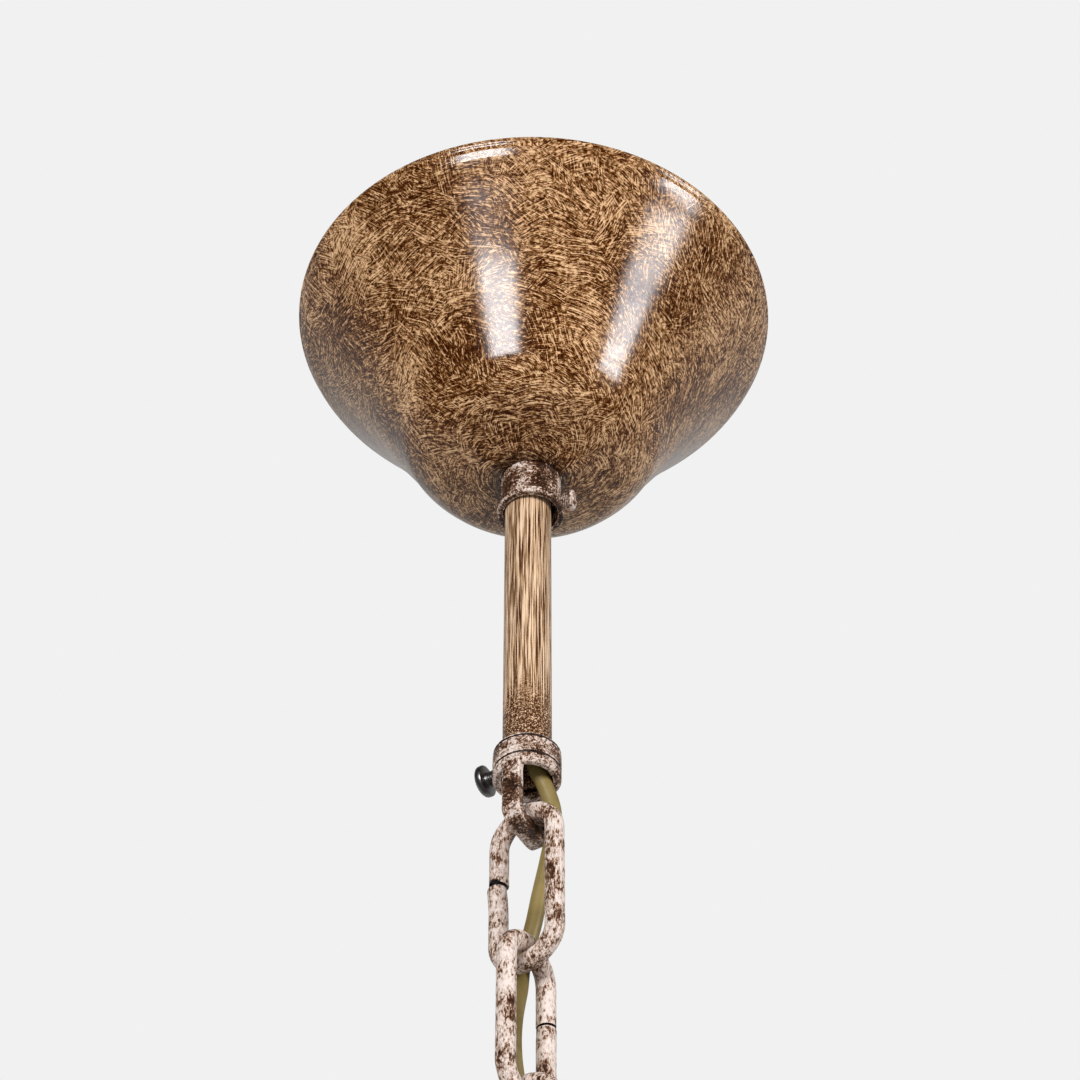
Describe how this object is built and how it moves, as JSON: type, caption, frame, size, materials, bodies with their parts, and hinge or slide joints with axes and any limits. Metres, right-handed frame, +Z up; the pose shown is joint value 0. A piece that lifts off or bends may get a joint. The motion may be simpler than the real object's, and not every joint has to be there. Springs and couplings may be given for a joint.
{
  "type": "chandelier ceiling suspension",
  "caption": "Bell-shaped ceiling canopy with a screw collar on a stem, a cast loop collar, chain links with the cable beside them, and a loop collar with a threaded stem for the lamp.",
  "frame": {"origin": "middle of the ceiling plate's top face, in the plane of the ceiling", "axes": "+Z up along the stem, +X along the ceiling plate towards the terminal block, +Y across the plate"},
  "size_m": [0.129, 0.129, 0.3565],
  "materials": {
    "canopy_lacquer": "glossy lacquer over fine tan strokes on dark brown",
    "painted_stem": "satin paint with streaks along the tube",
    "cast_patina": "rough, pale patina over brown",
    "chain_patina": "rough, pale patina over rusty brown",
    "dark_screw": "blackened steel, satin",
    "zinc": "bright zinc plate",
    "brass": "satin",
    "white_plastic": "moulded",
    "khaki_sheath": "satin flexible sheath",
    "brown_core": "satin",
    "blue_core": "satin",
    "earth_core": "green with a yellow stripe"
  },
  "bodies": {
    "ceiling": {"stem": "painted_stem", "loop_collar": "cast_patina", "ceiling_plate": "zinc", "yoke": "zinc", "yoke_rivet_right": "zinc", "yoke_rivet_left": "zinc", "stem_nut_lower": "zinc", "stem_washer": "zinc", "stem_nut_upper": "zinc", "terminal_fixing_screw": "zinc", "terminal_screw_live_lamp": "zinc", "terminal_screw_live_mains": "zinc", "terminal_screw_neutral_lamp": "zinc", "terminal_screw_neutral_mains": "zinc", "terminal_live": "brass", "terminal_neutral": "brass", "earth_tag": "brass", "earth_screw": "brass", "earth_nut": "brass", "cord_grip": "white_plastic", "cord_grip_screw": "white_plastic", "terminal_block": "white_plastic", "cable_in_stem": "khaki_sheath", "cable_at_bail": "khaki_sheath", "core_live": "brown_core", "core_neutral": "blue_core", "core_earth": "earth_core"},
    "canopy": {"canopy_shell": "canopy_lacquer", "canopy_collar": "cast_patina", "canopy_ring": "zinc"},
    "canopy_set_screw": {"canopy_screw": "dark_screw"},
    "loop_set_screw": {"loop_screw": "dark_screw"},
    "link_1": {"chain_link_1": "chain_patina", "cable_at_link_1": "khaki_sheath"},
    "link_2": {"chain_link_2": "chain_patina", "cable_at_link_2": "khaki_sheath"},
    "link_3": {"chain_link_3": "chain_patina", "cable_at_link_3": "khaki_sheath"},
    "lamp_end": {"lamp_loop_collar": "cast_patina", "lamp_stem": "painted_stem", "lamp_coupling": "dark_screw", "cable_connector": "white_plastic", "connector_contact_1": "brass", "connector_contact_2": "brass", "connector_contact_3": "brass", "cable_in_lamp_stem": "khaki_sheath"},
    "lamp_set_screw": {"lamp_loop_screw": "dark_screw"}
  },
  "joints": [
    {"name": "canopy_slide", "type": "slide", "parent": "ceiling", "child": "canopy", "axis": [0, 0, 1], "range_m": [-0.083, 0]},
    {"name": "canopy_screw_out", "type": "slide", "parent": "canopy", "child": "canopy_set_screw", "axis": [0.891, 0.454, 0], "range_m": [0, 0.002]},
    {"name": "loop_screw_out", "type": "slide", "parent": "ceiling", "child": "loop_set_screw", "axis": [-1, 0, 0], "range_m": [0, 0.002]},
    {"name": "link_1_swing", "type": "hinge", "parent": "ceiling", "child": "link_1", "pos_m": [0, 0, -0.18858], "axis": [0.0785, 0.9969, 0], "range_deg": [-25, 25], "deforming": ["cable_at_bail"]},
    {"name": "link_2_swing", "type": "hinge", "parent": "link_1", "child": "link_2", "pos_m": [0, 0, -0.22538], "axis": [0.9969, -0.0785, 0], "range_deg": [-25, 25], "deforming": ["cable_at_link_1"]},
    {"name": "link_3_swing", "type": "hinge", "parent": "link_2", "child": "link_3", "pos_m": [0, 0, -0.26508], "axis": [0.0785, 0.9969, 0], "range_deg": [-25, 25], "deforming": ["cable_at_link_2"]},
    {"name": "lamp_swing", "type": "hinge", "parent": "link_3", "child": "lamp_end", "pos_m": [0, 0, -0.29688], "axis": [0.0785, 0.9969, 0], "range_deg": [-25, 25], "deforming": ["cable_at_link_3"]},
    {"name": "lamp_screw_out", "type": "slide", "parent": "lamp_end", "child": "lamp_set_screw", "axis": [-0.9969, 0.0785, 0], "range_m": [0, 0.002]}
  ]
}
